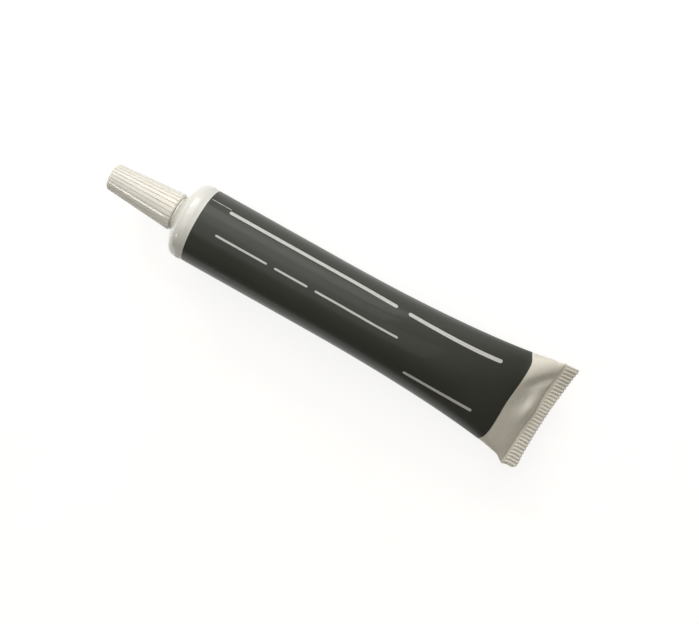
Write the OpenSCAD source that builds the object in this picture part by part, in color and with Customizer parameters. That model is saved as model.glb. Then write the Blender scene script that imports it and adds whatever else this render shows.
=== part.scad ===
// Squeeze tube of lock grease with a fluted screw cap, in millimetres.
// The tube lies on its side: its axis runs along X with the cap towards +X,
// +Z is up, and the origin is on the table below the middle of its length.

/* [Sleeve] */
// Outside diameter of the round front of the sleeve
tube_d = 19; // [16:0.5:28]
// Length of the sleeve from the shoulder to the tail edge
sleeve_len = 98.4; // [80:0.2:160]
// Wall thickness of the sleeve
wall_t = 0.5; // [0.3:0.05:0.9]
// Length over which the round sleeve closes to the flat seal
taper_len = 58; // [45:1:65]
// Width of the flat that the soft tube lies on
rest_w = 3.6; // [2:0.2:4.4]

/* [Tail seal] */
// Length of the plain pressed strip ahead of the ribs
strip_len = 1.4; // [1:0.1:3]
// Length of the ribs pressed into the tail edge
rib_len = 2.8; // [2:0.1:6]
// Thickness of the pressed seal between the ribs
seal_t = 0.8; // [0.6:0.05:1.2]
// Height of a rib above the seal
rib_h = 0.15; // [0.1:0.05:0.25]
// Number of ribs across the seal
rib_count = 30; // [16:1:36]
// How far the seal stands out past the flattened sleeve on each side
seal_margin = 0.3; // [0.2:0.05:0.6]
// Radius of the two corners at the tail edge
corner_r = 1; // [0.5:0.1:1.5]

/* [Printed band] */
// Plain sleeve left between the shoulder and the band
band_margin = 1.7; // [1:0.1:10]
// Plain sleeve left between the band and the tail seal
tail_margin = 7.5; // [3:0.1:20]
// Thickness of the printed film
film_t = 0.08; // [0.05:0.01:0.2]

/* [Head] */
// Height of the rounded shoulder
dome_len = 4.8; // [4:0.1:8]
// Radius of the shoulder's rounded edge
dome_r = 2.6; // [1.5:0.1:3.5]
// How far the shoulder's rim stays above the flat of the sleeve
rim_clear = 0.03; // [0.02:0.01:0.08]
// Wall thickness of the shoulder
dome_t = 1.2; // [0.8:0.1:1.6]
// Length of the spigot inside the sleeve
spigot_len = 3; // [2:0.25:6]
// Wall thickness of the spigot
spigot_t = 1; // [0.6:0.1:1.6]
// Clearance of the spigot over the flat inside the sleeve
spigot_fit = 0.04; // [0.02:0.01:0.1]
// Diameter of the small land around the neck
land_d = 8.4; // [7.5:0.1:11]

/* [Neck and nozzle] */
// Diameter of the neck below its thread
neck_d = 5.1; // [4.6:0.1:6.5]
// Plain neck left above the thread
neck_top = 0.6; // [0.6:0.1:2]
// Length of the tapered nozzle
nozzle_len = 8.6; // [6:0.2:14]
// Step from the neck in to the foot of the nozzle
nozzle_step = 0.25; // [0.1:0.05:0.5]
// Diameter at the tip of the nozzle
nozzle_tip_d = 2.5; // [2.2:0.1:3.2]
// Diameter of the outlet
outlet_d = 1.4; // [1:0.1:1.6]
// Length of the straight outlet
outlet_len = 4; // [3.5:0.25:5.5]
// Diameter of the channel at the foot of the neck
channel_d = 2.6; // [2:0.1:3.2]

/* [Thread] */
// Advance of the cap in one turn
thread_lead = 2; // [1.8:0.1:3]
// Turns of thread on the neck
neck_turns = 2.5; // [2:0.25:4]
// Height of a thread above its wall
thread_h = 0.45; // [0.3:0.05:0.6]
// Clearance of a thread's crest from the facing wall
thread_gap = 0.2; // [0.14:0.02:0.26]
// Width of a thread at its foot
thread_foot_w = 0.9; // [0.6:0.05:0.95]
// Width of a thread at its crest
thread_crest_w = 0.45; // [0.3:0.05:0.5]

/* [Cap] */
// Wall of the cap at its open end, over the flutes
cap_wall = 1.65; // [1.3:0.05:3]
// Thickness of the cap's closed end
cap_end_t = 1.8; // [1:0.1:4]
// Diameter over the flutes at the closed end
cap_tip_d = 6.7; // [6:0.1:9]
// Gap between the closed cap and the shoulder
cap_gap = 0.4; // [0.2:0.05:1]
// Number of flutes round the cap
flute_count = 26; // [20:1:28]
// Radius of the edge at the closed end
cap_edge_r = 0.8; // [0.4:0.1:1.2]
// Bevel at the open end
cap_bevel = 0.25; // [0.1:0.05:0.5]
// Clearance between the nozzle and the cap's inner cone
nozzle_gap = 0.45; // [0.3:0.05:0.6]

/* [Tip seal] */
// How far the sealing disc reaches past the nozzle's tip all round
disc_cover = 0.45; // [0.35:0.05:0.8]
// Thickness of the sealing disc
disc_t = 1.3; // [0.8:0.1:2]
// Clearance of the pin in the outlet
pin_gap = 0.1; // [0.05:0.01:0.15]
// Length of the pin
pin_len = 2.2; // [1.5:0.1:3]
// Clearance of the disc in its seat
disc_fit = 0.05; // [0.04:0.01:0.1]
// Width of the lip that holds the disc
lip_w = 0.15; // [0.1:0.05:0.2]
// Height of the lip that holds the disc
lip_h = 0.25; // [0.2:0.05:0.4]

/* [Contents] */
// Clearance left round the grease
fill_gap = 0.1; // [0.08:0.01:0.2]

/* [Hidden] */
// Steps round a section of the sleeve
section_steps = 46;
// Stations along the taper, under the band and behind it
band_stations = 10;
tail_stations = 7;
// The closing curve reaches this angle where the hollow ends
hollow_end = 80;
// Fullness of the taper: below 1 the belly stays plump up to the seal
belly_power = 0.84;
// How quickly a section widens as it is pressed flat at constant girth
girth_power = 1.7;
// Least half angle of the flat, where the belly has left the table
least_flat = 2;
// Steps round one turn of thread, and over its run-out
thread_steps = 24;
run_out_steps = 6;
// Depth to which a thread is rooted in its wall
thread_root = 0.12;
// A flute is a slender cone sunk into the cap's core cone
flute_sink = 0.96;
flute_share = 0.105;
flute_over = 0.5;
crest_share = flute_sink + flute_share;
// Steps in a rounded edge
edge_steps = 8;
// Overlap used where two shapes of one piece are joined
join = 0.4;
// Segments of a round shape
$fn = 64;

tube_r = tube_d / 2;
rest_h = sqrt(tube_r * tube_r - rest_w * rest_w / 4);
axis_h = rest_h + film_t;
flat_half_w = PI * tube_r / 2;
seal_len = strip_len + rib_len;
seal_core = 0.4 * seal_t;
close_at = rib_len + strip_len / 2;
band_front = sleeve_len - band_margin;
band_rear = seal_len + tail_margin;
band_rear_angle = asin(1 - (band_rear - close_at) / taper_len);
shoulder_at = sleeve_len + dome_len;
rim_r = rest_h - rim_clear;
spigot_r = rest_h - wall_t - spigot_fit;
neck_r = neck_d / 2;
thread_start = cap_gap + thread_lead / 2;
neck_len = thread_start + neck_turns * thread_lead + neck_top;
nozzle_foot_r = neck_r - nozzle_step;
nozzle_tip_r = nozzle_tip_d / 2;
nozzle_end = neck_len + nozzle_len;
disc_r = nozzle_tip_r + disc_cover;
disc_seat_r = disc_r + disc_fit;
disc_at = nozzle_end + disc_fit;
seat_end = disc_at + disc_t + disc_fit;
pin_r = outlet_d / 2 - pin_gap;
cap_bore_r = neck_r + thread_h + thread_gap;
cap_base_r = cap_bore_r + cap_wall;
cap_tip_r = cap_tip_d / 2;
cap_len = seat_end - cap_gap + cap_end_t;
cap_turns = neck_turns - 0.5;
core_base_r = cap_base_r / crest_share;
core_tip_r = cap_tip_r / crest_share;
total_len = shoulder_at + cap_gap + cap_len;

// Points on an arc about a centre
function arc(centre, r, from, to) =
    [for (i = [0:edge_steps])
        let (a = from + (to - from) * i / edge_steps)
        centre + r * [cos(a), sin(a)]];

// Half height of the sleeve where its closing curve has reached an angle
function half_height(a) = seal_core + (tube_r - seal_core) * pow(cos(a), belly_power);

// Half width of a section pressed to a half height at constant girth
function half_width(h) = flat_half_w - (flat_half_w - tube_r) * pow(h / tube_r, girth_power);

// Place along the sleeve, from the tail edge, of an angle of the closing curve
function taper_place(a) = close_at + taper_len * (1 - sin(a));

// Half angle of the flat that the table presses into a section
function flat_angle(h, grow) = max(least_flat, acos(min(1, (rest_h + grow) / (h + grow))));

// One closed section of the sleeve, grown by an offset, with its flat at the bottom
function section(place, a, grow) =
    let (h = half_height(a), w = half_width(h), flat = flat_angle(h, grow))
    [for (i = [0:section_steps])
        let (t = flat - 90 + (360 - 2 * flat) * i / section_steps)
        [place, (w + grow) * cos(t), (h + grow) * sin(t)]];

// Angles of the closing curve, from the tail towards the front
tail_angles = [for (i = [0:tail_stations - 1])
    90 - (90 - band_rear_angle) * i / tail_stations];
band_angles = [for (i = [0:band_stations])
    band_rear_angle * (1 - i / band_stations)];
hollow_angles = [for (a = concat(tail_angles, band_angles)) if (a < hollow_end) a];

// Sections of the taper for a list of angles
function taper(angles, grow) = [for (a = angles) section(taper_place(a), a, grow)];

// The same loops in the opposite order
function reversed(loops) = [for (i = [len(loops) - 1:-1:0]) loops[i]];

// Skin through closed loops; a ring-shaped one joins its last loop to its first.
// Each four-sided patch is split along its shorter diagonal, so two skins
// through the same loops have the same facets whichever way they run.
module loft(loops, ring_shaped = false) {
    n = len(loops[0]);
    m = len(loops);
    points = [for (loop = loops) each loop];
    joins = ring_shaped ? m : m - 1;
    sides = [for (i = [0:joins - 1], k = [0:n - 1])
        let (j = (i + 1) % m,
             l = (k + 1) % n,
             a = i * n + k,
             b = i * n + l,
             c = j * n + l,
             d = j * n + k)
        each norm(points[a] - points[c]) <= norm(points[b] - points[d])
            ? [[a, c, b], [a, d, c]]
            : [[a, d, b], [b, d, c]]];
    ends = [[for (k = [0:n - 1]) k], [for (k = [n - 1:-1:0]) (m - 1) * n + k]];
    polyhedron(
        points = points,
        faces = ring_shaped ? sides : concat(sides, ends),
        convexity = 6);
}

// Puts a shape drawn along X from the tail edge into the shared frame
module in_frame() {
    translate([-total_len / 2, 0, axis_h]) children();
}

// Puts a shape drawn along Z from the neck's foot into the shared frame
module on_neck() {
    in_frame() translate([shoulder_at, 0, 0]) rotate([0, 90, 0]) children();
}

// Right-handed ridge along Z that fades out at both ends
module thread(foot_r, crest_r, start, turns) {
    way = sign(crest_r - foot_r);
    count = round(turns * thread_steps);
    loft([for (i = [0:count])
        let (fade = min(1, i / run_out_steps, (count - i) / run_out_steps),
             root = foot_r - way * thread_root,
             sunk = foot_r - way * thread_root / 2,
             crest = sunk + (crest_r - sunk) * fade,
             a = 360 * i / thread_steps,
             z = start + thread_lead * i / thread_steps,
             foot = way * thread_foot_w / 2,
             top = way * thread_crest_w / 2)
        [for (p = [[root, -foot], [root, foot], [crest, top], [crest, -top]])
            [p[0] * cos(a), p[0] * sin(a), z + p[1]]]]);
}

// Pressed flat plate at the tail with two rounded corners and round ribs
module seal_plate() {
    half = flat_half_w + seal_margin;
    pitch = 2 * (half - corner_r / 2) / rib_count;
    translate([0, 0, -seal_t / 2]) linear_extrude(seal_t)
        polygon(concat(
            [[seal_len, half]],
            arc([corner_r, half - corner_r], corner_r, 90, 180),
            arc([corner_r, corner_r - half], corner_r, 180, 270),
            [[seal_len, -half]]));
    for (i = [0:rib_count - 1])
        translate([rib_h, (i + 0.5 - rib_count / 2) * pitch, 0])
            rotate([0, 90, 0]) cylinder(r = seal_t / 2 + rib_h, h = rib_len);
}

module tube_sleeve() {
    outside = concat(
        taper(concat(tail_angles, band_angles), 0),
        [section(band_front, 0, 0), section(sleeve_len, 0, 0)]);
    hollow = concat(
        taper(hollow_angles, -wall_t),
        [section(sleeve_len, 0, -wall_t)]);
    color([0.93, 0.92, 0.88]) in_frame() {
        loft(concat(outside, reversed(hollow)));
        seal_plate();
    }
}

module printed_band() {
    outside = concat(taper(band_angles, film_t), [section(band_front, 0, film_t)]);
    backing = concat(taper(band_angles, 0), [section(band_front, 0, 0)]);
    color([0.24, 0.25, 0.23]) in_frame() loft(concat(outside, reversed(backing)), true);
}

module tube_head() {
    land_r = land_d / 2;
    edge_centre = [rim_r - dome_r, -dome_len];
    to_land = [land_r, 0] - edge_centre;
    edge_end = atan2(to_land[1], to_land[0]) - acos(dome_r / norm(to_land));
    channel_r = channel_d / 2;
    outlet_r = outlet_d / 2;
    outline = concat(
        [[spigot_r - spigot_t, -dome_len - spigot_len],
         [spigot_r, -dome_len - spigot_len],
         [spigot_r, -dome_len]],
        arc(edge_centre, dome_r, 0, edge_end),
        [[land_r, 0],
         [neck_r, 0],
         [neck_r, neck_len],
         [nozzle_foot_r, neck_len],
         [nozzle_tip_r, nozzle_end],
         [outlet_r, nozzle_end],
         [outlet_r, nozzle_end - outlet_len],
         [channel_r, 0],
         [channel_r, -dome_t],
         [spigot_r - spigot_t, -dome_len]]);
    color([0.95, 0.95, 0.93]) on_neck() {
        rotate_extrude() polygon(outline);
        thread(neck_r, neck_r + thread_h, thread_start, neck_turns);
    }
}

// Solid cone with flutes, cut to the cap's rounded outline
module cap_body() {
    taper_per_mm = (core_base_r - core_tip_r) / cap_len;
    tilt = atan(flute_sink * taper_per_mm);
    low_r = core_base_r + flute_over * taper_per_mm;
    high_r = core_tip_r - flute_over * taper_per_mm;
    over_len = cap_len + 2 * flute_over;
    clear = cap_bevel / 4;
    intersection() {
        union() {
            cylinder(r1 = core_base_r, r2 = core_tip_r, h = cap_len);
            for (i = [0:flute_count - 1])
                rotate([0, 0, 360 * i / flute_count])
                    translate([flute_sink * low_r, 0, -flute_over])
                    rotate([0, -tilt, 0])
                    cylinder(r1 = flute_share * low_r, r2 = flute_share * high_r, h = over_len / cos(tilt));
        }
        rotate_extrude() polygon(concat(
            [[0, 0], [cap_base_r - cap_bevel, 0], [cap_base_r + clear, cap_bevel + clear]],
            arc([cap_tip_r + clear - cap_edge_r, cap_len - cap_edge_r], cap_edge_r, 0, 90),
            [[0, cap_len]]));
    }
}

module screw_cap() {
    hollow = [
        [0, -join],
        [cap_bore_r, -join],
        [cap_bore_r, neck_len - cap_gap + nozzle_gap],
        [nozzle_foot_r + nozzle_gap, neck_len - cap_gap + nozzle_gap],
        [disc_seat_r - lip_w, nozzle_end - cap_gap - lip_h],
        [disc_seat_r - lip_w, nozzle_end - cap_gap],
        [disc_seat_r, nozzle_end - cap_gap],
        [disc_seat_r, seat_end - cap_gap],
        [0, seat_end - cap_gap]];
    color([0.94, 0.92, 0.86]) on_neck() translate([0, 0, cap_gap]) {
        difference() {
            cap_body();
            rotate_extrude() polygon(hollow);
        }
        thread(cap_bore_r, cap_bore_r - thread_h, thread_lead, cap_turns);
    }
}

module tip_seal() {
    color([0.85, 0.86, 0.84]) on_neck() {
        translate([0, 0, disc_at]) cylinder(r = disc_r, h = disc_t);
        translate([0, 0, disc_at - pin_len]) cylinder(r = pin_r, h = pin_len + join);
    }
}

module grease_fill() {
    loops = concat(
        taper(hollow_angles, -wall_t - fill_gap),
        [section(sleeve_len - spigot_len - fill_gap, 0, -wall_t - fill_gap)]);
    plug_r = spigot_r - spigot_t - fill_gap;
    plug = [
        [0, -dome_len - spigot_len - join],
        [plug_r, -dome_len - spigot_len - join],
        [plug_r, -dome_len],
        [channel_d / 2, -dome_t - fill_gap],
        [0, -dome_t - fill_gap]];
    color([0.80, 0.72, 0.48]) {
        in_frame() loft(loops);
        on_neck() rotate_extrude() polygon(plug);
    }
}

tube_sleeve();
printed_band();
tube_head();
screw_cap();
tip_seal();
grease_fill();
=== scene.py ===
import math
from collections import namedtuple

import bmesh
import bpy
import numpy as np
from mathutils import Matrix, Vector


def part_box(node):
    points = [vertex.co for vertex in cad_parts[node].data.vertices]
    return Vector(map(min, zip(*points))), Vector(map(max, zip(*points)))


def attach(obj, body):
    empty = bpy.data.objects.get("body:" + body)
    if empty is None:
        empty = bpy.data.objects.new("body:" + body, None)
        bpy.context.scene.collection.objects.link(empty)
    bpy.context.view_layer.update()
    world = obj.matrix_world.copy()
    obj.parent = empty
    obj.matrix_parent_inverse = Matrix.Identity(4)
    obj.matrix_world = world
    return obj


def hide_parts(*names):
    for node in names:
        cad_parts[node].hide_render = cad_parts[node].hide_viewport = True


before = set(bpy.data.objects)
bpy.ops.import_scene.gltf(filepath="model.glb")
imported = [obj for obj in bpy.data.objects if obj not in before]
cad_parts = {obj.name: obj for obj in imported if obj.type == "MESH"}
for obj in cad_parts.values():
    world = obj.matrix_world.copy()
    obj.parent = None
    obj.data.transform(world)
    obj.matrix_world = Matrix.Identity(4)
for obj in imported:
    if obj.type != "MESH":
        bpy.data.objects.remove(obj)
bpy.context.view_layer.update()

# Pieces are drawn in millimetres along the tube: x runs from the tail edge to
# the cap, y across the flat tail seal, and z up from the tube's axis. The near
# side is +Y and the far side is -Y, as the photo shows the tube.
MM = 0.001

# The soft sleeve stands this much proud of its solid
SWELL = 0.1


def span(node):
    """Lowest and highest corner of a CAD node, in millimetres of the row frame."""
    low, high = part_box(node)
    return low / MM, high / MM


sleeve_low, sleeve_high = span("tube_sleeve")
band_low, band_high = span("printed_band")
head_low, head_high = span("tube_head")
cap_low, cap_high = span("screw_cap")
plug_low, plug_high = span("tip_seal")

# Places that the frame gives
TAIL_X = sleeve_low.x
AXIS_Z = (cap_low.z + cap_high.z) / 2
SLEEVE_LEN = sleeve_high.x - TAIL_X
TUBE_R = sleeve_high.z - AXIS_Z + SWELL
REST_H = AXIS_Z - sleeve_low.z
SEAL_HALF_W = sleeve_high.y
FILM_T = band_high.z - sleeve_high.z
BAND_REAR = band_low.x - TAIL_X
BAND_FRONT = band_high.x - TAIL_X
SPIGOT_END = head_low.x - TAIL_X
NOZZLE_END = head_high.x - TAIL_X
CAP_BASE = cap_low.x - TAIL_X
CAP_END = cap_high.x - TAIL_X
PLUG_END = plug_high.x - TAIL_X
PLUG_R = (plug_high.z - plug_low.z) / 2

# Sleeve: a round front that closes to the flat seal at constant girth
WALL_T = 0.5
TAPER_LEN = 58
CLOSE_AT = 3.5
SEAL_CORE = 0.32
BELLY_POWER = 0.84
GIRTH_POWER = 1.7
FLAT_HALF_W = math.pi * TUBE_R / 2
FRONT_EDGE_R = 0.03
FRONT_FLARE = 0.26
HOLLOW_START = 5.4

# Opening of the sleeve ahead of the seal: a small step and then a wedge, which
# starts sooner at the far end and in the middle
OPEN_AT = 3.75
WEDGE_SLOPE = 0.62
FOOT_STEP = 0.7
FOOT_SOFT = 0.15
FAR_LEAD = 0.7
FAR_OPEN = (-0.85, -0.4)
MID_LEAD = 0.4
MID_OPEN = 0.2

# Sections close to the seal are boxy; two heights are blended by a power
BOXY = 5
BOXY_END = 12
BLEND = 4
LEAST = 0.01

# Flat tail seal, with a margin of its own at the near and at the far end
SEAL_T = 0.8
FIN_LEN = 4
NEAR_STRIP = (4.8, 6.0)
NEAR_BULGE = 0.55
BULGE_AT = 3.9
BULGE_LEN = 1.1
FAR_STRIP = (2.5, 7.0)
FAR_MARGIN = -0.6

# Tail edge: bowed, with rounded corners and a far end that reaches out
TAIL_BOW = 0.4
TAIL_SKEW = 0.4
TAIL_HORN = 0.45
HORN_POWER = 8
FAR_REACH = 0.42
NEAR_CORNER_R = 1.9
FAR_CORNER_R = 0.6
EDGE_R = 0.3
EDGE_FLAT = 0.3
SIDE_POWER = 40

# Curl of the seal, which starts at the fold and grows towards the tail edge
CURL_FROM = 4.4
CURL_SOFT = 0.8
NEAR_LIFT = 0.12
NEAR_BEND = (0, 0.9)
FAR_DROP = 0.28
FAR_BEND = (0.1, 0.8)

# Ribs of the tail seal, shallower over a stretch in their middle
RIB_LEN = 2.95
RIB_SLANT = 0.28
RIB_COUNT = 30
RIB_INSET = 0.5
RIB_PITCH = 2 * (SEAL_HALF_W - RIB_INSET) / RIB_COUNT
RIB_H = 0.14
RIB_GROOVE = 0.25
RIB_FILL = 0.39
RIB_POWER = 3
RIB_END = 0.3
RIB_FADE = (0.955, 0.985)
SERRATION = 0.22
SHALLOW_FROM = -6.5
SHALLOW_TO = 5.0
SHALLOW_SOFT = 1
SHALLOW_SHARE = 0.7

# Head
DOME_LEN = 4.8
DOME_R = 2.3
DOME_LIP = 0.6
DOME_T = 1.2
SEAM_STEP = 0.01
SPIGOT_FIT = 0.04
SPIGOT_R = REST_H - WALL_T - SPIGOT_FIT
SPIGOT_T = 1
LAND_R = 4.2
NECK_R = 2.55
NECK_LEN = 7
NOZZLE_STEP = 0.25
NOZZLE_TIP_R = 1.25
OUTLET_R = 0.7
OUTLET_LEN = 4
CHANNEL_R = 1.3
FILLET_R = 0.2
COLLAR_R = 4.1
COLLAR_GAP = 0.06
SHOULDER = SLEEVE_LEN + DOME_LEN

# Thread
LEAD = 2
THREAD_H = 0.45
THREAD_FOOT = 0.45
THREAD_CREST = 0.225
THREAD_FADE = 0.25
NECK_TURNS = 2.5
CAP_TURNS = 2
THREAD_GAP = 0.2
THREAD_STEP = 0.1

# Cap
FLUTES = 26
FLUTE_SAMPLES = 14
FLUTE_FILL = 0.42
FLUTE_POWER = 8
CREST_SHARE = 1.085
CAP_BASE_R = 4.9
CAP_TIP_R = 3.45
CAP_EDGE_R = 0.8
CAP_FOOT_R = 0.4
FOOT_DRAW = 3
CAP_GAP = CAP_BASE - SHOULDER
BORE_R = NECK_R + THREAD_H + THREAD_GAP
NOZZLE_GAP = 0.45
PLUG_FIT = 0.05
LIP_W = 0.15
LIP_H = 0.25
GATE_R = 0.7
GATE_SHARE = 0.7
GATE_DEPTH = 0.12

# Clearance left round the grease, and how far it starts inside the hollow
FILL_GAP = 0.1
FILL_INSET = 0.6

# Samples round and along the pieces: rings lie close together at the tail
SLEEVE_ROUND = 744
BAND_ROUND = 216
GREASE_ROUND = 120
HEAD_ROUND = 128
EVEN_END = 5
ROUND_START = 16
FINE_END = 14
TAPER_END = 62
BODY_STEP = 2
SEAL_RINGS = 34
OPENING_RINGS = 42
BODY_RINGS = 7
FRONT_RINGS = 6
HOLLOW_RINGS = (4, 14)
BAND_RINGS = 44
GREASE_RINGS = (12, 14)
CAP_RINGS = 10
CROWDING = 1.6

# Dents pressed into the soft tail: place, turn from the tube's line in degrees,
# half length and half width of the dent, and its depth (a bump is below zero)
Dent = namedtuple("Dent", "x y turn long wide depth")
UPPER_DENTS = (
    Dent(6.1, -8.4, 45, 3.8, 1.2, 0.70),
    Dent(5.1, -1.0, 90, 4.2, 1.4, -0.65),
    Dent(8.1, -2.6, 82, 4.6, 2.3, 0.80),
    Dent(8.4, 7.5, 100, 3.2, 1.6, 0.20),
)
LOWER_DENTS = (
    Dent(7.4, 7.6, -38, 4.0, 1.0, 0.40),
    Dent(6.4, 0.8, 92, 3.2, 1.1, -0.26),
    Dent(9.2, -5.4, 70, 3.4, 1.4, 0.25),
)

# Curve of the band's rear edge: a bow towards the tail with a shallow dip in its middle
REAR_BOW = 1.0
NEAR_REAR_POWER = 12
FAR_REAR_POWER = 30
REAR_SLANT = 0.2
REAR_DIP = 0.4
REAR_DIP_WIDE = 0.45
FILM_GAP = FILM_T / 8

# Rows of plain print: front end, angle round the tube at the front and at the
# rear, height, gap between the bars and the length of each bar. The first pale
# row is no print but a painted highlight: a thin pale line at the band's front
# edge that stands for a glint on the film.
Row = namedtuple("Row", "front angle rear_angle height gap bars")
PALE_ROWS = (
    Row(96.3, 152.0, 152.0, 0.17, 0.0, (5.4,)),
    Row(91.0, 146.5, 134.5, 0.95, 3.0, (46.0, 25.0)),
    Row(91.0, 105.2, 103.5, 0.50, 2.0, (14.0, 9.0, 22.5)),
    Row(36.4, 62.8, 62.6, 0.70, 2.0, (19.0,)),
)
DIM_ROWS = (
    Row(91.0, 54.0, 54.0, 0.16, 0.7, (7.5, 4.0, 8.0)),
    Row(91.0, 50.0, 50.0, 0.16, 0.7, (4.5, 9.0, 3.5)),
)
ROW_STRAIGHT = 60
# Sizes of the bars, alike for print and for the painted highlight line
BAR_SINK = 0.02
BAR_LIFT = 0.015
BAR_SPACING = 0.5
BAR_STEPS = 12
BAR_LEAST = 0.02

# Camera, as the photo was taken
PHOTO_W = 699
SENSOR_W = 36
CAMERA_DIST = 250
CAMERA_ROLL = math.radians(17.63)
CAMERA_TILT = math.radians(-1.31)
CAMERA_TURN = math.radians(29.31)
PHOTO_SCALE = 0.2452
PHOTO_SHIFT = (-5.20, -3.707)

# Studio, in metres and as levels of light where 1 is white
FLOOR_HALF = 6.0
FLOOR_GROW = (0.3, 1.5)
FLOOR_LIFT = 0.82
FAR_LIFT = 0.92
HORIZON = (0.03, 0.06)
ROOM_LIGHT = (0.11, 0.10, 0.075)

# Range that a noise mostly keeps to, and the shade of the blotches on the darker, warmer tail
NOISE_LOW = 0.3
NOISE_HIGH = 0.7
BLOTCH_SHADE = 0.94


# Shapes shared by the pieces

def ease(value, start, end):
    """Smooth step from 0 at start to 1 at end."""
    share = np.clip((value - start) / (end - start), 0, 1)
    return share * share * (3 - 2 * share)


def arc(centre, radius, start, end, steps=8):
    """Points (x, r) on an arc, its angles in degrees from the tube's line."""
    angles = np.radians(np.linspace(start, end, steps + 1))
    return [(centre[0] + radius * math.cos(a), centre[1] + radius * math.sin(a)) for a in angles]


def belly(x):
    """Half height of the sleeve's taper, which stays plump up to the seal."""
    sine = np.clip(1 - (x - CLOSE_AT) / TAPER_LEN, 0, 1)
    return SEAL_CORE + (TUBE_R - SEAL_CORE) * (1 - sine * sine) ** (BELLY_POWER / 2)


def half_height(x):
    """Half height of the sleeve: the belly, opened from the seal by a step and a wedge."""
    open_len = np.maximum(LEAST, x - OPEN_AT)
    wedge = FOOT_STEP * (1 - np.exp(-open_len / FOOT_SOFT)) + WEDGE_SLOPE * open_len
    rise = np.maximum(LEAST, belly(x) - SEAL_CORE)
    least = (wedge ** -BLEND + rise ** -BLEND) ** (-1 / BLEND)
    return least + SEAL_CORE * ease(x, OPEN_AT, ROUND_START)


def half_width(x, far=False):
    """Half width of a section pressed flat at constant girth, with the seal's margin at either side."""
    pressed = FLAT_HALF_W - (FLAT_HALF_W - TUBE_R) * (belly(x) / TUBE_R) ** GIRTH_POWER
    near_margin = (SEAL_HALF_W - FLAT_HALF_W) * (1 - ease(x, *NEAR_STRIP))
    near_margin = near_margin + NEAR_BULGE * np.exp(-((x - BULGE_AT) / BULGE_LEN) ** 2)
    far_margin = FAR_MARGIN * (1 - ease(x, *FAR_STRIP))
    return pressed + np.where(far, far_margin, near_margin)


def dented(x, y, dents):
    """Depth of a list of dents at a place on the sleeve."""
    depth = np.zeros(np.broadcast(x, y).shape)
    for dent in dents:
        turn = math.radians(dent.turn)
        along = (x - dent.x) * math.cos(turn) + (y - dent.y) * math.sin(turn)
        aside = (y - dent.y) * math.cos(turn) - (x - dent.x) * math.sin(turn)
        depth = depth + dent.depth * np.exp(-(along / dent.long) ** 2 - (aside / dent.wide) ** 2)
    return depth


def even_across(count):
    """Even steps across a flat ring, from 1 over the top to -1 and back below."""
    u = np.arange(count) / count
    return np.where(u <= 0.5, 1 - 4 * u, 4 * u - 3)


def rib_wave(across):
    """Height of the pressed ribs across the seal, from 0 in a groove to 1 on a crest."""
    aside = (SEAL_HALF_W * across / RIB_PITCH) % 1 - 0.5
    return np.maximum(0, 1 - np.abs(aside / RIB_FILL) ** RIB_POWER) ** (1 / RIB_POWER)


def tail_edge(across):
    """Place of the tail edge: bowed, serrated by the ribs and rounded at its corners."""
    corner = np.where(across < 0, FAR_CORNER_R, NEAR_CORNER_R)
    past = np.clip((np.abs(across) - 1) * SEAL_HALF_W / corner + 1, 0, 1)
    rounded = corner * (1 - np.sqrt(1 - past ** 2))
    bowed = TAIL_BOW * (1 - across ** 2) * (1 + TAIL_SKEW * across) - TAIL_HORN * across ** HORN_POWER
    reach = FAR_REACH * ease(-across, *FAR_BEND)
    return rounded + bowed - reach + SERRATION * (1 - rib_wave(across))


def seal_half(x, across):
    """Half thickness of the flat seal: ribbed at its tail edge, fading out inside the sleeve."""
    rib = rib_wave(across)
    y = SEAL_HALF_W * across
    shallow = ease(y, SHALLOW_FROM - SHALLOW_SOFT, SHALLOW_FROM)
    shallow = shallow * (1 - ease(y, SHALLOW_TO, SHALLOW_TO + SHALLOW_SOFT))
    rib_end = RIB_LEN + RIB_SLANT * across
    ribbed = (1 - ease(x, rib_end - RIB_END, rib_end)) * (1 - ease(np.abs(across), *RIB_FADE))
    ribbed = ribbed * (1 - (1 - SHALLOW_SHARE) * shallow)
    half_t = SEAL_T / 2 + ribbed * (RIB_H * rib - RIB_GROOVE * (1 - rib))
    from_edge = np.clip((x - tail_edge(across)) / EDGE_R, 0, 1)
    rounded = np.sqrt(1 - (1 - EDGE_FLAT ** 2) * (1 - from_edge) ** 2)
    sides = np.sqrt(np.maximum(0, 1 - np.abs(across) ** SIDE_POWER))
    return half_t * rounded * sides * (1 - ease(x, OPEN_AT, OPEN_AT + FIN_LEN))


def curl(x, across):
    """Bend of the flat seal: towards the tail edge its far end drops and its near end lifts."""
    from_fold = np.maximum(0, CURL_FROM - x)
    tilt = NEAR_LIFT * ease(across, *NEAR_BEND) - FAR_DROP * ease(-across, *FAR_BEND)
    return tilt * from_fold ** 2 / (from_fold + CURL_SOFT)


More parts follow.
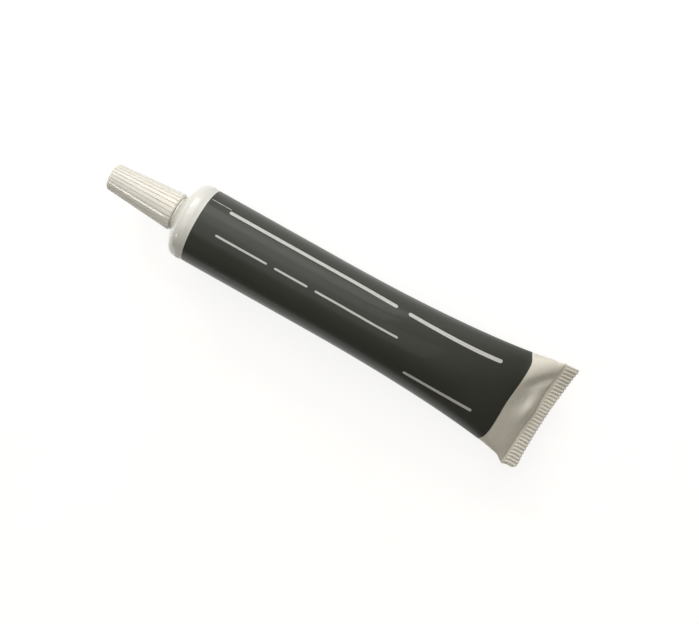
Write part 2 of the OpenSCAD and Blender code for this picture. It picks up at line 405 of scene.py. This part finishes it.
def sleeve_ring(x, count, grow=0.0):
    """Closed section of the sleeve, from +Y over the top; x is one place or one per point."""
    u = np.arange(count) / count
    x = np.broadcast_to(np.asarray(x, float), u.shape)
    upper = u <= 0.5
    round_share = np.cos(2 * math.pi * u)
    even_share = even_across(count)
    across = even_share + (round_share - even_share) * ease(x, EVEN_END, ROUND_START)
    grow = grow + FRONT_FLARE * ease(x, BAND_FRONT, SLEEVE_LEN)
    y = (half_width(x, across < 0) + grow) * across
    lead = FAR_LEAD * (1 - ease(across, *FAR_OPEN)) + MID_LEAD * np.exp(-(across / MID_OPEN) ** 2)
    lead = lead * (1 - ease(x, OPEN_AT, ROUND_START))
    depth = np.where(upper, dented(x, y, UPPER_DENTS), dented(x, y, LOWER_DENTS))
    bow_power = 2 + BOXY * (1 - ease(x, OPEN_AT, BOXY_END))
    bow = np.sqrt(np.maximum(0, 1 - np.abs(across) ** bow_power))
    high = np.maximum(0, half_height(x + lead) + grow - depth) * bow
    flat = np.maximum(0, seal_half(x, across) + np.minimum(0, grow))
    z = np.where(upper, 1, -1) * (high ** BLEND + flat ** BLEND) ** (1 / BLEND) + curl(x, across)
    return np.stack([x, y, np.maximum(z, -np.minimum(REST_H + grow, AXIS_Z))], -1)


def turned_ring(x, r, count):
    """Ring about the tube's axis, from straight below; r is one radius or one per point."""
    a = 2 * math.pi * np.arange(count) / count
    r = np.broadcast_to(np.asarray(r, float), a.shape)
    return np.stack([np.full(count, float(x)), r * np.sin(a), -r * np.cos(a)], -1)


def flute_ring(x, core, share, count):
    """Ring of the cap with flat-topped flutes at a share of their height above its core."""
    aside = (np.arange(count) * FLUTES / count + 0.5) % 1 - 0.5
    wave = np.maximum(0, 1 - np.abs(aside / FLUTE_FILL) ** FLUTE_POWER) ** (1 / FLUTE_POWER)
    flat = 1 / np.cos(2 * math.pi * aside / FLUTES)
    return turned_ring(x, core * (1 + (CREST_SHARE - 1) * share * wave) * flat, count)


def thread_rise(x, start, turns, count):
    """Height of a right-handed thread round a ring at x; it fades out at both ends."""
    turn = np.arange(count) / count
    from_start = (x - start) / LEAD - turn
    whole = np.round(from_start)
    aside = np.abs(from_start - whole) * LEAD
    done = turn + whole
    fade = np.clip(np.minimum(done, turns - done) / THREAD_FADE, 0, 1)
    flank = np.clip((THREAD_FOOT - aside) / (THREAD_FOOT - THREAD_CREST), 0, 1)
    return THREAD_H * fade * flank


# Mesh helpers

def skin(rings, wrap=False):
    """Points of equal rings, and the four-sided faces that join each ring to the next."""
    rings = np.asarray(rings)
    m, n = rings.shape[:2]
    faces = []
    for i in range(m if wrap else m - 1):
        j = (i + 1) % m
        for k in range(n):
            after = (k + 1) % n
            faces.append((i * n + k, i * n + after, j * n + after, j * n + k))
    return rings.reshape(-1, 3), faces


def slit_faces(first, count):
    """Faces that close a flat ring by joining its upper half to its lower half."""
    faces = [(first, first + 1, first + count - 1)]
    half = count // 2
    for i in range(1, half - 1):
        faces.append((first + i, first + i + 1, first + count - i - 1, first + count - i))
    faces.append((first + half - 1, first + half, first + half + 1))
    return faces


def disc_face(first, count):
    """One face that closes a round ring."""
    return [tuple(range(first, first + count))]


def make_piece(name, points, faces, material, body, node=None, sharp=40):
    """Closed mesh piece on a body, with its finish; it stands for a CAD node if one is named."""
    placed = (np.asarray(points) + (TAIL_X, 0, AXIS_Z)) * MM
    mesh = bpy.data.meshes.new(name)
    mesh.from_pydata(placed.tolist(), [], faces)
    shape = bmesh.new()
    shape.from_mesh(mesh)
    bmesh.ops.recalc_face_normals(shape, faces=shape.faces)
    shape.to_mesh(mesh)
    shape.free()
    mesh.shade_smooth()
    mesh.set_sharp_from_angle(angle=math.radians(sharp))
    mesh.materials.append(material)
    piece = bpy.data.objects.new(name, mesh)
    bpy.context.scene.collection.objects.link(piece)
    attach(piece, body)
    if node:
        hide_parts(node)
    return piece


# Materials

def settle(tree, node, values):
    """Sets the inputs of a shader node, each to a value or to a socket."""
    for key, value in values.items():
        if isinstance(value, bpy.types.NodeSocket):
            tree.links.new(value, node.inputs[key])
        else:
            node.inputs[key].default_value = value


def add(tree, kind, inputs=None, **settings):
    """New shader node with its settings, and its inputs as values or sockets."""
    made = tree.nodes.new(kind)
    for key, value in settings.items():
        setattr(made, key, value)
    settle(tree, made, inputs or {})
    return made


def noise(tree, place, scale, detail=3.0, roughness=0.5):
    """Noise of a given scale at a place."""
    inputs = {"Vector": place, "Scale": scale, "Detail": detail, "Roughness": roughness}
    return add(tree, "ShaderNodeTexNoise", inputs).outputs["Fac"]


def ramp(tree, value, stops):
    """Colour ramp from a list of (position, colour)."""
    made = add(tree, "ShaderNodeValToRGB", {"Fac": value})
    elements = made.color_ramp.elements
    while len(elements) < len(stops):
        elements.new(0.5)
    for element, (position, colour) in zip(elements, stops):
        element.position = position
        element.color = (*colour, 1)
    return made.outputs["Color"]


def blend(tree, share, first, second):
    """Colour that goes from the first to the second by a share."""
    inputs = {"Factor": share, "A": first, "B": second}
    return add(tree, "ShaderNodeMix", inputs, data_type="RGBA").outputs["Result"]


def combine(tree, way, first, second):
    """Two numbers combined in a way such as MULTIPLY or MAXIMUM."""
    return add(tree, "ShaderNodeMath", {0: first, 1: second}, operation=way).outputs["Value"]


def spread(tree, value, low, high):
    """Noise spread between two levels."""
    inputs = {"Value": value, "From Min": NOISE_LOW, "From Max": NOISE_HIGH, "To Min": low, "To Max": high}
    return add(tree, "ShaderNodeMapRange", inputs).outputs["Result"]


def surface(name):
    """New node material: its tree, its shader and the object's own coordinates."""
    material = bpy.data.materials.new(name)
    material.use_nodes = True
    tree = material.node_tree
    shader = tree.nodes["Principled BSDF"]
    place = add(tree, "ShaderNodeTexCoord").outputs["Object"]
    return material, tree, shader, place


def bump(tree, height, strength, distance):
    """Normal from a height, its distance in millimetres."""
    inputs = {"Height": height, "Strength": strength, "Distance": distance * MM}
    return add(tree, "ShaderNodeBump", inputs).outputs["Normal"]


def plastic(name, pale, deep, rough, grain, coat=0.0, tail=None, relief=0.1, gloss=0.5):
    """Plastic with cloudy colour, uneven sheen and fine grain; a tail colour fades in along the tube."""
    material, tree, shader, place = surface(name)
    clouds = noise(tree, place, 90, 4)
    blotches = noise(tree, place, 700, 5, 0.6)
    fine = noise(tree, place, grain, 2)
    colour = ramp(tree, clouds, ((0.25, deep), (0.75, pale)))
    if tail:
        along = add(tree, "ShaderNodeSeparateXYZ", {"Vector": place}).outputs["X"]
        rear = (TAIL_X + BAND_REAR) * MM
        front = (TAIL_X + BAND_FRONT) * MM
        ends = {"Value": along, "From Min": rear, "From Max": front}
        forward = add(tree, "ShaderNodeMapRange", ends).outputs["Result"]
        # Towards the tail the colour turns darker and warmer, with random darker blotches
        tail_blotch_dark = [BLOTCH_SHADE * part for part in tail]
        tail_blotched = ramp(tree, blotches, ((NOISE_LOW, tail_blotch_dark), (NOISE_HIGH, tail)))
        colour = blend(tree, forward, tail_blotched, colour)
    settle(tree, shader, {
        "Base Color": colour,
        "Roughness": spread(tree, blotches, rough[0], rough[1]),
        "IOR": 1.5,
        "Specular IOR Level": gloss,
        "Subsurface Weight": 0.1,
        "Subsurface Radius": (1.0, 0.85, 0.6),
        "Subsurface Scale": 0.8 * MM,
        "Coat Weight": coat,
        "Coat Roughness": 0.03,
        "Normal": bump(tree, fine, relief, 0.02),
    })
    return material


def lacquer(name):
    """Dark printed film under a clear lacquer, with a faint drawn grain and light rubbing."""
    material, tree, shader, place = surface(name)
    drawn = add(tree, "ShaderNodeMapping", {"Vector": place, "Scale": (0.08, 1, 1)}).outputs["Vector"]
    grain = noise(tree, drawn, 1800, 4, 0.6)
    clouds = noise(tree, place, 60, 3)
    rubbed = noise(tree, drawn, 420, 6, 0.7)
    dark = ramp(tree, clouds, ((NOISE_LOW, (0.042, 0.043, 0.036)), (NOISE_HIGH, (0.049, 0.050, 0.042))))
    wear = ramp(tree, rubbed, ((0.55, (0, 0, 0)), (0.8, (0.15, 0.15, 0.15))))
    settle(tree, shader, {
        "Base Color": blend(tree, wear, dark, (0.06, 0.06, 0.054, 1)),
        "Roughness": spread(tree, grain, 0.30, 0.40),
        "IOR": 1.3,
        "Coat Weight": 0.15,
        "Coat Roughness": 0.05,
        "Normal": bump(tree, grain, 0.03, 0.005),
    })
    return material


def matt_colour(name, pale, deep):
    """Matt ink for the print bars and for a painted highlight line, a little thin in places."""
    material, tree, shader, place = surface(name)
    speckle = noise(tree, place, 2600, 3, 0.6)
    settle(tree, shader, {
        "Base Color": ramp(tree, speckle, ((0.35, deep), (0.65, pale))),
        "Roughness": spread(tree, speckle, 0.35, 0.5),
        "Normal": bump(tree, speckle, 0.1, 0.01),
    })
    return material


def rubber(name):
    """Soft sealing rubber with a dull bloom."""
    material, tree, shader, place = surface(name)
    bloom = noise(tree, place, 1200, 5, 0.6)
    settle(tree, shader, {
        "Base Color": ramp(tree, bloom, ((NOISE_LOW, (0.44, 0.45, 0.43)), (NOISE_HIGH, (0.56, 0.57, 0.54)))),
        "Roughness": spread(tree, bloom, 0.6, 0.8),
        "Normal": bump(tree, bloom, 0.3, 0.03),
    })
    return material


def amber_grease(name):
    """Thick amber grease with slow swirls."""
    material, tree, shader, place = surface(name)
    swirls = noise(tree, place, 160, 5, 0.55)
    settle(tree, shader, {
        "Base Color": ramp(tree, swirls, ((NOISE_LOW, (0.42, 0.27, 0.06)), (NOISE_HIGH, (0.62, 0.45, 0.14)))),
        "Roughness": spread(tree, swirls, 0.12, 0.25),
        "IOR": 1.46,
        "Subsurface Weight": 0.4,
        "Subsurface Radius": (1.0, 0.7, 0.3),
        "Subsurface Scale": 1.5 * MM,
        "Normal": bump(tree, swirls, 0.4, 0.3),
    })
    return material


# Pieces

def make_sleeve(material):
    """Sleeve with its ribbed tail seal, dented tail and hollow."""
    edge = tail_edge(even_across(SLEEVE_ROUND))
    pressed = [edge + (OPEN_AT - edge) * share for share in np.linspace(0, 1, SEAL_RINGS)[:-1]]
    opening = OPEN_AT + (FINE_END - OPEN_AT) * np.linspace(0, 1, OPENING_RINGS) ** CROWDING
    taper = np.arange(FINE_END + BODY_STEP, TAPER_END, BODY_STEP)
    body = np.linspace(TAPER_END, BAND_FRONT, BODY_RINGS)
    front = np.linspace(BAND_FRONT, SLEEVE_LEN - FRONT_EDGE_R, FRONT_RINGS)[1:]
    rings = [sleeve_ring(x, SLEEVE_ROUND) for x in (*pressed, *opening, *taper, *body, *front)]
    for x, grow in arc((SLEEVE_LEN - FRONT_EDGE_R, -FRONT_EDGE_R), FRONT_EDGE_R, 75, 0, 5):
        rings.append(sleeve_ring(x, SLEEVE_ROUND, grow))
    inner_front = np.linspace(SLEEVE_LEN, TAPER_END, HOLLOW_RINGS[0])
    inner_taper = np.linspace(TAPER_END - BODY_STEP, HOLLOW_START, HOLLOW_RINGS[1])
    rings += [sleeve_ring(x, SLEEVE_ROUND, -WALL_T) for x in (*inner_front, *inner_taper)]
    points, faces = skin(rings)
    faces += slit_faces(0, SLEEVE_ROUND)
    faces += slit_faces((len(rings) - 1) * SLEEVE_ROUND, SLEEVE_ROUND)
    return make_piece("sleeve", points, faces, material, "tube", "tube_sleeve", 60)


def make_band(material):
    """Printed film on the sleeve; its rear edge bows towards the tail."""
    across = np.cos(2 * math.pi * np.arange(BAND_ROUND) / BAND_ROUND)
    power = np.where(across < 0, FAR_REAR_POWER, NEAR_REAR_POWER)
    rear = BAND_REAR - REAR_BOW * (1 - np.abs(across) ** power) + REAR_SLANT * across
    rear += REAR_DIP * np.exp(-(across / REAR_DIP_WIDE) ** 2)
    shares = np.linspace(0, 1, BAND_RINGS) ** CROWDING
    places = [rear + (BAND_FRONT - rear) * share for share in shares]
    rings = [sleeve_ring(x, BAND_ROUND, FILM_T) for x in places]
    rings += [sleeve_ring(x, BAND_ROUND, FILM_GAP) for x in reversed(places)]
    points, faces = skin(rings, wrap=True)
    return make_piece("band", points, faces, material, "tube", "printed_band", 60)


def band_bar(row, front, rear):
    """Points and faces of one round-ended bar on the band; print bars and the painted highlight line are made
    alike.
    """
    steps = max(BAR_STEPS, round((front - rear) / BAR_SPACING))
    angle = np.linspace(0, math.pi, steps + 1)
    places = (front + rear) / 2 + (front - rear) / 2 * np.cos(angle)
    row_rear = row.front - sum(row.bars) - row.gap * (len(row.bars) - 1)
    loops = []
    for x in places:
        to_end = min(front - x, x - rear, row.height / 2)
        half = math.sqrt(max(BAR_LEAST ** 2, row.height * to_end - to_end * to_end))
        forward = float(ease(x, row_rear, ROW_STRAIGHT))
        middle = row.rear_angle + (row.angle - row.rear_angle) * forward
        sides = math.radians(middle) + np.array([-half, 0, half]) / TUBE_R
        loop = []
        for lift, order in ((FILM_T + BAR_LIFT, sides), (FILM_T - BAR_SINK, sides[::-1])):
            for a in order:
                y = (half_width(x) + lift) * math.cos(a)
                z = (half_height(x) + lift) * math.sin(a)
                loop.append((x, y, z))
        loops.append(loop)
    points, faces = skin(loops)
    count = len(loops[0])
    return points, faces + disc_face(0, count) + disc_face((len(loops) - 1) * count, count)


def make_bar_rows(name, rows, material):
    """Plain bars in rows along the band, where such a tube carries its print; the first pale row is a painted
    highlight line.
    """
    points, faces = [], []
    for row in rows:
        front = row.front
        for length in row.bars:
            bar_points, bar_faces = band_bar(row, front, front - length)
            faces += [tuple(len(points) + i for i in face) for face in bar_faces]
            points += bar_points.tolist()
            front -= length + row.gap
    return make_piece(name, points, faces, material, "tube")


def make_head(material):
    """Rounded shoulder, threaded neck and tapered nozzle, with the channel through them."""
    rim_r = TUBE_R + FRONT_FLARE - SEAM_STEP
    edge = (SLEEVE_LEN + DOME_LIP, rim_r - DOME_R)
    to_land = (SHOULDER - edge[0], LAND_R - edge[1])
    reach = math.hypot(*to_land)
    edge_end = math.degrees(math.atan2(to_land[1], to_land[0]) + math.acos(DOME_R / reach))
    neck_end = SHOULDER + NECK_LEN
    collar_end = CAP_BASE - COLLAR_GAP
    outline = [
        (SPIGOT_END, SPIGOT_R - SPIGOT_T),
        (SPIGOT_END, SPIGOT_R),
        (SLEEVE_LEN, SPIGOT_R),
        (SLEEVE_LEN, rim_r),
    ]
    outline += arc(edge, DOME_R, 90, edge_end, 14)
    outline += [(SHOULDER, LAND_R), (collar_end, COLLAR_R)]
    outline += arc((collar_end + FILLET_R, NECK_R + FILLET_R), FILLET_R, 180, 270, 5)
    rings = [turned_ring(x, r, HEAD_ROUND) for x, r in outline]
    for x in np.arange(collar_end + FILLET_R + THREAD_STEP, neck_end - FILLET_R, THREAD_STEP):
        rise = thread_rise(x - SHOULDER, CAP_GAP + LEAD / 2, NECK_TURNS, HEAD_ROUND)
        rings.append(turned_ring(x, NECK_R + rise, HEAD_ROUND))
    tip = arc((neck_end - FILLET_R, NECK_R - FILLET_R), FILLET_R, 90, 0, 4)
    tip += [(neck_end, NECK_R - NOZZLE_STEP)]
    tip += arc((NOZZLE_END - FILLET_R, NOZZLE_TIP_R - FILLET_R), FILLET_R, 80, 0, 4)
    tip += [
        (NOZZLE_END, OUTLET_R),
        (NOZZLE_END - OUTLET_LEN, OUTLET_R),
        (SHOULDER, CHANNEL_R),
        (SHOULDER - DOME_T, CHANNEL_R),
        (SLEEVE_LEN, SPIGOT_R - SPIGOT_T),
    ]
    rings += [turned_ring(x, r, HEAD_ROUND) for x, r in tip]
    rings = np.array(rings)
    rings[:, :, 2] = np.maximum(rings[:, :, 2], -REST_H)
    points, faces = skin(rings, wrap=True)
    return make_piece("head", points, faces, material, "tube", "tube_head")


def make_cap(material):
    """Tapered cap: fluted outside with rounded ends, threaded bore and a seat for the plug."""
    count = FLUTES * FLUTE_SAMPLES
    bore_end = SHOULDER + NECK_LEN + NOZZLE_GAP
    seat_r = PLUG_R + PLUG_FIT
    seat_end = PLUG_END + PLUG_FIT
    inside = [
        (seat_end, seat_r),
        (NOZZLE_END, seat_r),
        (NOZZLE_END, seat_r - LIP_W),
        (NOZZLE_END - LIP_H, seat_r - LIP_W),
        (bore_end, NECK_R - NOZZLE_STEP + NOZZLE_GAP),
        (bore_end, BORE_R),
    ]
    rings = [turned_ring(x, r, count) for x, r in inside]
    for x in np.arange(bore_end - THREAD_STEP, CAP_BASE + LIP_H, -THREAD_STEP):
        rise = thread_rise(x - CAP_BASE, LEAD, CAP_TURNS, count)
        rings.append(turned_ring(x, BORE_R - rise, count))
    rings.append(turned_ring(CAP_BASE, BORE_R + LIP_H, count))

    slope = (CAP_BASE_R - CAP_TIP_R) / (CAP_END - CAP_BASE) / CREST_SHARE
    core_base_r = CAP_BASE_R / CREST_SHARE
    core_tip_r = CAP_TIP_R / CREST_SHARE
    for x, back in arc((CAP_BASE + CAP_FOOT_R, 0), CAP_FOOT_R, 180, 90, 7):
        core = core_base_r - CAP_FOOT_R / FOOT_DRAW + back / FOOT_DRAW
        rings.append(flute_ring(x, core, back / CAP_FOOT_R, count))
    for x in np.linspace(CAP_BASE + CAP_FOOT_R, CAP_END - CAP_EDGE_R, CAP_RINGS)[1:-1]:
        core = core_base_r - slope * (x - CAP_BASE)
        rings.append(flute_ring(x, core, 1, count))
    edge_core = core_tip_r + slope * CAP_EDGE_R
    for x, back in arc((CAP_END - CAP_EDGE_R, 0), CAP_EDGE_R, 90, 0, 9):
        core = edge_core - CAP_EDGE_R + back
        rings.append(flute_ring(x, core, back / CAP_EDGE_R, count))
    rings.append(turned_ring(CAP_END, GATE_R, count))
    rings.append(turned_ring(CAP_END - GATE_DEPTH, GATE_R * GATE_SHARE, count))
    points, faces = skin(rings)
    faces += disc_face(0, count) + disc_face((len(rings) - 1) * count, count)
    return make_piece("cap", points, faces, material, "cap", "screw_cap", 50)


def make_grease(material):
    """Grease that fills the sleeve and the shoulder up to the channel."""
    plug_r = SPIGOT_R - SPIGOT_T - FILL_GAP
    plug_rear = SPIGOT_END - FILL_GAP
    tail = np.linspace(HOLLOW_START + FILL_INSET, ROUND_START, GREASE_RINGS[0])
    taper = np.linspace(ROUND_START + BODY_STEP, TAPER_END, GREASE_RINGS[1])
    rings = [sleeve_ring(x, GREASE_ROUND, -WALL_T - FILL_GAP) for x in (*tail, *taper, plug_rear)]
    plug = [(plug_rear, plug_r), (SLEEVE_LEN, plug_r), (SHOULDER - DOME_T - FILL_GAP, CHANNEL_R)]
    u = 2 * math.pi * np.arange(GREASE_ROUND) / GREASE_ROUND
    for x, r in plug:
        rings.append(np.stack([np.full(GREASE_ROUND, x), r * np.cos(u), r * np.sin(u)], -1))
    points, faces = skin(rings)
    faces += slit_faces(0, GREASE_ROUND)
    faces += disc_face((len(rings) - 1) * GREASE_ROUND, GREASE_ROUND)
    return make_piece("grease", points, faces, material, "tube", "grease_fill")


# Studio

def seen_directly(tree):
    """1 for what the camera sees, by itself or in a gloss or through glass, and 0 for lighting."""
    path = add(tree, "ShaderNodeLightPath").outputs
    gloss = combine(tree, "MAXIMUM", path["Is Camera Ray"], path["Is Glossy Ray"])
    return combine(tree, "MAXIMUM", gloss, path["Is Transmission Ray"])


def make_floor():
    """Plain pale floor that looks white and keeps the tube's soft shadow."""
    half = FLOOR_HALF
    corners = [(-half, -half, 0), (half, -half, 0), (half, half, 0), (-half, half, 0)]
    mesh = bpy.data.meshes.new("floor")
    mesh.from_pydata(corners, [], [(0, 1, 2, 3)])
    floor = bpy.data.objects.new("floor", mesh)
    bpy.context.scene.collection.objects.link(floor)
    material, tree, shader, place = surface("floor_white")
    paper = noise(tree, place, 40, 3)
    distance = add(tree, "ShaderNodeVectorMath", {0: place}, operation="LENGTH").outputs["Value"]
    near_far = {"Value": distance, "From Min": FLOOR_GROW[0], "From Max": FLOOR_GROW[1]}
    near_far.update({"To Min": FLOOR_LIFT, "To Max": FAR_LIFT})
    lift = add(tree, "ShaderNodeMapRange", near_far).outputs["Result"]
    shades = ((NOISE_LOW, (0.31, 0.30, 0.275)), (NOISE_HIGH, (0.33, 0.32, 0.295)))
    settle(tree, shader, {
        "Base Color": ramp(tree, paper, shades),
        "Roughness": 0.9,
        "Emission Color": (1, 1, 1, 1),
        "Emission Strength": combine(tree, "MULTIPLY", lift, seen_directly(tree)),
    })
    mesh.materials.append(material)


def make_world():
    """Dim even room light with a thin white line at the horizon, behind the floor."""
    world = bpy.data.worlds.new("room")
    world.use_nodes = True
    tree = world.node_tree
    direction = add(tree, "ShaderNodeTexCoord").outputs["Generated"]
    height = add(tree, "ShaderNodeSeparateXYZ", {"Vector": direction}).outputs["Z"]
    from_horizon = add(tree, "ShaderNodeMath", {0: height}, operation="ABSOLUTE").outputs["Value"]
    room = ramp(tree, from_horizon, ((HORIZON[0], (1, 1, 1)), (HORIZON[1], ROOM_LIGHT)))
    settle(tree, tree.nodes["Background"], {"Color": room, "Strength": 1.0})
    bpy.context.scene.world = world


def make_lamp(name, angle, x, distance, size, radiance):
    """Flat lamp, in metres, leaning from straight above the tube towards -Y; radiance 1 looks white."""
    lean = math.radians(angle)
    middle = Vector((0, 0, AXIS_Z * MM))
    place = middle + Vector((x, -distance * math.sin(lean), distance * math.cos(lean)))
    back = (place - middle).normalized()
    side = (Vector((1, 0, 0)) - back * back.x).normalized()
    data = bpy.data.lights.new(name, "AREA")
    data.shape = "RECTANGLE"
    data.size, data.size_y = size
    data.energy = radiance * math.pi * size[0] * size[1]
    lamp = bpy.data.objects.new(name, data)
    turn = Matrix((side, back.cross(side), back)).transposed().to_4x4()
    lamp.matrix_world = Matrix.Translation(place) @ turn
    bpy.context.scene.collection.objects.link(lamp)


def make_lights():
    """Soft light from the ceiling to a far window, a strip for the cap and a spot for the shoulder."""
    make_lamp("ceiling", 9, 0.16, 0.8, (0.8, 0.62), 1.1)
    make_lamp("skylight", 43, 0.30, 0.8, (0.8, 0.37), 2.1)
    make_lamp("window", 71, 0.28, 0.8, (0.7, 0.43), 3.7)
    make_lamp("cap_strip", -46.4, 0.34, 0.7, (0.14, 0.024), 30)
    make_lamp("shoulder_spot", 56, 0.55, 0.7, (0.14, 0.08), 26)


def make_camera():
    """Camera at the photo's place, close above the tube."""
    up = Vector((
        math.sin(CAMERA_TILT),
        -math.sin(CAMERA_ROLL) * math.cos(CAMERA_TILT),
        math.cos(CAMERA_ROLL) * math.cos(CAMERA_TILT),
    ))
    along = Vector((-1, 0, 0))
    along = (along - along.dot(up) * up).normalized()
    across = (-up).cross(along)
    right = math.cos(CAMERA_TURN) * along - math.sin(CAMERA_TURN) * across
    down = math.sin(CAMERA_TURN) * along + math.cos(CAMERA_TURN) * across
    place = Vector((0, 0, AXIS_Z)) + up * CAMERA_DIST - right * PHOTO_SHIFT[0] - down * PHOTO_SHIFT[1]
    data = bpy.data.cameras.new("camera")
    data.sensor_width = SENSOR_W
    data.lens = CAMERA_DIST / PHOTO_SCALE * SENSOR_W / PHOTO_W
    data.clip_start = 0.01
    camera = bpy.data.objects.new("camera", data)
    turn = Matrix((right, -down, up)).transposed().to_4x4()
    camera.matrix_world = Matrix.Translation(place * MM) @ turn
    bpy.context.scene.collection.objects.link(camera)
    bpy.context.scene.camera = camera


white = (0.81, 0.80, 0.74)
shade = (0.77, 0.76, 0.70)
sleeve_finish = plastic("sleeve_white", white, shade, (0.26, 0.38), 3000, tail=(0.77, 0.73, 0.64))
head_finish = plastic("head_gloss", white, shade, (0.08, 0.13), 2600, coat=0.8)
cap_finish = plastic(
    "cap_satin", (0.88, 0.85, 0.78), (0.84, 0.81, 0.735), (0.11, 0.14), 2400, relief=0.02, gloss=0.35
)
make_sleeve(sleeve_finish)
make_band(lacquer("band_lacquer"))
# Pale bars: print, and in their first row a painted highlight line along the band's front edge
make_bar_rows("pale_print_and_highlight", PALE_ROWS, matt_colour("ink_pale_and_highlight", (0.62, 0.62, 0.59), (0.53, 0.53, 0.50)))
make_bar_rows("print_dim", DIM_ROWS, matt_colour("ink_dim", (0.13, 0.13, 0.12), (0.08, 0.08, 0.075)))
make_head(head_finish)
make_cap(cap_finish)
make_grease(amber_grease("grease_amber"))

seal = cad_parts["tip_seal"]
seal.data.materials.clear()
seal.data.materials.append(rubber("seal_rubber"))

make_floor()
make_world()
make_lights()
make_camera()
bpy.context.scene.view_settings.view_transform = "Standard"
